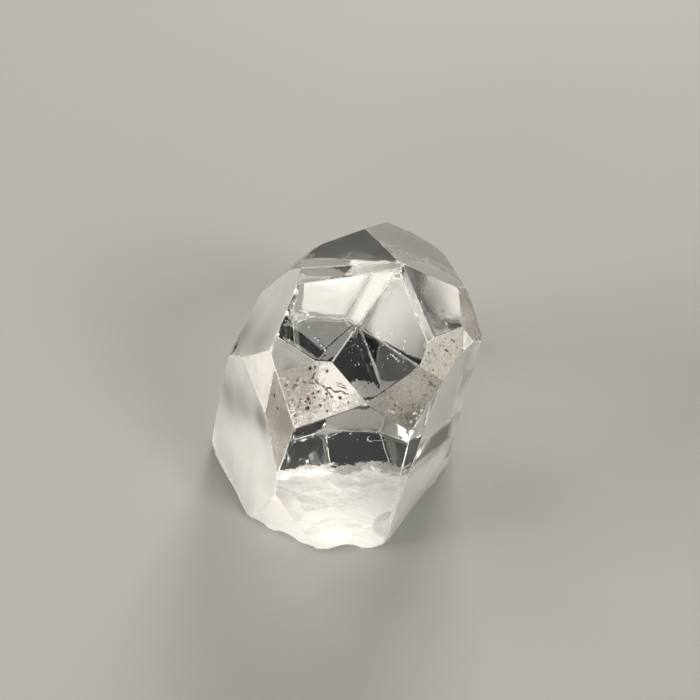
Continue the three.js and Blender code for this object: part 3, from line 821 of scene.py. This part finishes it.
def etchTree():
    # roughens the etched skin and drops grains of iron oxide into its pits
    tree, given, out = newTree("etchedSkin", "GeometryNodeTree", [
        ("Geometry", "Geometry", None), ("Etch Size", "Float", 0.0), ("Etch Height", "Float", 0.0),
        ("Grains", "Float", 0.0), ("Grain Radius", "Float", 0.0), ("Seed", "Int", 1),
        ("Grain Material", "Material", None)], [("Geometry", "Geometry", None)])
    get = given.outputs

    def field(name):
        return addNode(tree, "GeometryNodeInputNamedAttribute", values={"Name": name}).outputs["Attribute"]

    normal = addNode(tree, "GeometryNodeInputNormal").outputs[0]
    bumps = addNode(tree, "ShaderNodeTexNoise", values={"Detail": 3.0, "Roughness": 0.6},
                    i2=calc(tree, "DIVIDE", 1, get["Etch Size"])).outputs["Fac"]
    down = calc(tree, "MULTIPLY", calc(tree, "MULTIPLY", bumps, get["Etch Height"]), field("etch"))
    offset = addNode(tree, "ShaderNodeVectorMath", {"operation": "SCALE"}, i0=normal,
                     i3=calc(tree, "MULTIPLY", down, -1))
    skinned = addNode(tree, "GeometryNodeSetPosition", i0=get["Geometry"], i3=offset.outputs[0]).outputs[0]

    dots = addNode(tree, "GeometryNodeDistributePointsOnFaces", i0=skinned,
                   i4=calc(tree, "MULTIPLY", field("rust"), get["Grains"]))
    tree.links.new(get["Seed"], dots.inputs["Seed"])
    grain = addNode(tree, "GeometryNodeMeshIcoSphere", values={"Subdivisions": 1}, i0=get["Grain Radius"])
    smallest, largest = 0.35, 1.0
    size = addNode(tree, "FunctionNodeRandomValue", {"data_type": "FLOAT"}, {2: smallest, 3: largest})
    tree.links.new(get["Seed"], size.inputs["Seed"])
    strewn = addNode(tree, "GeometryNodeInstanceOnPoints", i0=dots.outputs[0], i2=grain.outputs[0],
                     i5=dots.outputs["Rotation"], i6=size.outputs[1])
    real = addNode(tree, "GeometryNodeRealizeInstances", i0=strewn.outputs[0])
    coloured = addNode(tree, "GeometryNodeSetMaterial", i0=real.outputs[0])
    tree.links.new(get["Grain Material"], coloured.inputs["Material"])
    joined = addNode(tree, "GeometryNodeJoinGeometry", i0=skinned)
    tree.links.new(coloured.outputs[0], joined.inputs[0])
    tree.links.new(joined.outputs[0], out.inputs[0])
    return tree


def applyTree(thing, tree, inputs):
    # sets the tree's named inputs, then keeps only the plain mesh it makes
    modifier = thing.modifiers.new(tree.name, "NODES")
    modifier.node_group = tree
    for item in tree.interface.items_tree:
        if item.name in inputs:
            modifier[item.identifier] = inputs[item.name]
    bpy.context.view_layer.update()
    solid = thing.evaluated_get(bpy.context.evaluated_depsgraph_get())
    made = bpy.data.meshes.new_from_object(solid)
    made.name = thing.data.name
    thing.modifiers.clear()
    thing.data = made


etching = {
    "Etch Size": 0.09 * mm, "Etch Height": 0.024 * mm, "Grains": 9e8, "Grain Radius": 0.016 * mm,
    "Seed": 5, "Grain Material": materials[finishNames.index("rusty")],
}
mesh = bpy.data.meshes.new("phenakiteCrystal")
mesh.from_pydata((shaped * mm).tolist(), [], triangles.tolist())
for material in materials:
    mesh.materials.append(material)
mesh.polygons.foreach_set("material_index", finishOf)
mesh.polygons.foreach_set("use_smooth", [True] * len(triangles))
for name, values in (("rust", rust), ("etch", etch), ("cloudAndShade", cloudAndShade)):
    mesh.attributes.new(name, "FLOAT", "POINT").data.foreach_set("value", values.astype(np.float32))
mesh.update()
phenakite = bpy.data.objects.new("phenakiteCrystal", mesh)
bpy.context.collection.objects.link(phenakite)
applyTree(phenakite, etchTree(), etching)
phenakite.data.set_sharp_from_angle(angle=math.radians(40))
print("crystal:", len(phenakite.data.polygons), "faces")
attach(phenakite, "root")
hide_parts("phenakite_crystal")


def plainMaterial(name, color, rough):
    mat = bpy.data.materials.new(name)
    mat.use_nodes = True
    shader = mat.node_tree.nodes["Principled BSDF"]
    shader.inputs["Base Color"].default_value = (*color, 1)
    shader.inputs["Roughness"].default_value = rough
    return mat


# the floor lies a hair below the crystal
bpy.ops.mesh.primitive_plane_add(size=0.8, location=(0, 0, -0.03 * mm))
floor = bpy.context.object
floor.name = "floor"
floor.data.materials.append(plainMaterial("floorGrey", (0.36, 0.36, 0.36), 0.8))

# bearing from behind the crystal and height in degrees, half its width in degrees, brightness
softboxes = {
    "left": (-100, 16, 15, 12), "frontLeft": (-160, 12, 9, 7.5), "back": (15, 34, 11, 16),
    "right": (135, 35, 9, 17), "highBack": (-45, 54, 10, 3.4), "highLeft": (-131, 63, 5, 3.6),
    "front": (170, 53, 7.5, 2.2),
}
lightGap = 0.16
lightAim = Vector((0, 0, 0.004))
for name, (bearing, height, spread, bright) in softboxes.items():
    light = bpy.data.lights.new(name, "AREA")
    light.size = 2 * lightGap * math.tan(math.radians(spread))
    light.energy = bright * math.pi * light.size ** 2
    light.color = (1, 0.955, 0.875)
    lamp = bpy.data.objects.new(name, light)
    turned, raised = math.radians(bearing), math.radians(height)
    level = math.cos(raised)
    away = Vector((math.sin(turned) * level, math.cos(turned) * level, math.sin(raised)))
    lamp.location = lightAim + away * lightGap
    lamp.rotation_euler = away.to_track_quat("Z", "Y").to_euler()
    bpy.context.collection.objects.link(lamp)

world = bpy.data.worlds.new("room")
bpy.context.scene.world = world
world.use_nodes = True
world.node_tree.nodes["Background"].inputs[0].default_value = (0.02, 0.02, 0.02, 1)

lens = bpy.data.cameras.new("camera")
lens.lens, lens.sensor_width = 56.57, 36
lens.clip_start, lens.clip_end = 0.001, 2
camera = bpy.data.objects.new("camera", lens)
camera.location = (0.000515, -0.03155, 0.03687)
camera.rotation_euler = (math.radians(45), 0, 0)
bpy.context.collection.objects.link(camera)
bpy.context.scene.camera = camera

bpy.context.scene.view_settings.view_transform = "Standard"
print("floor, lights and camera placed")
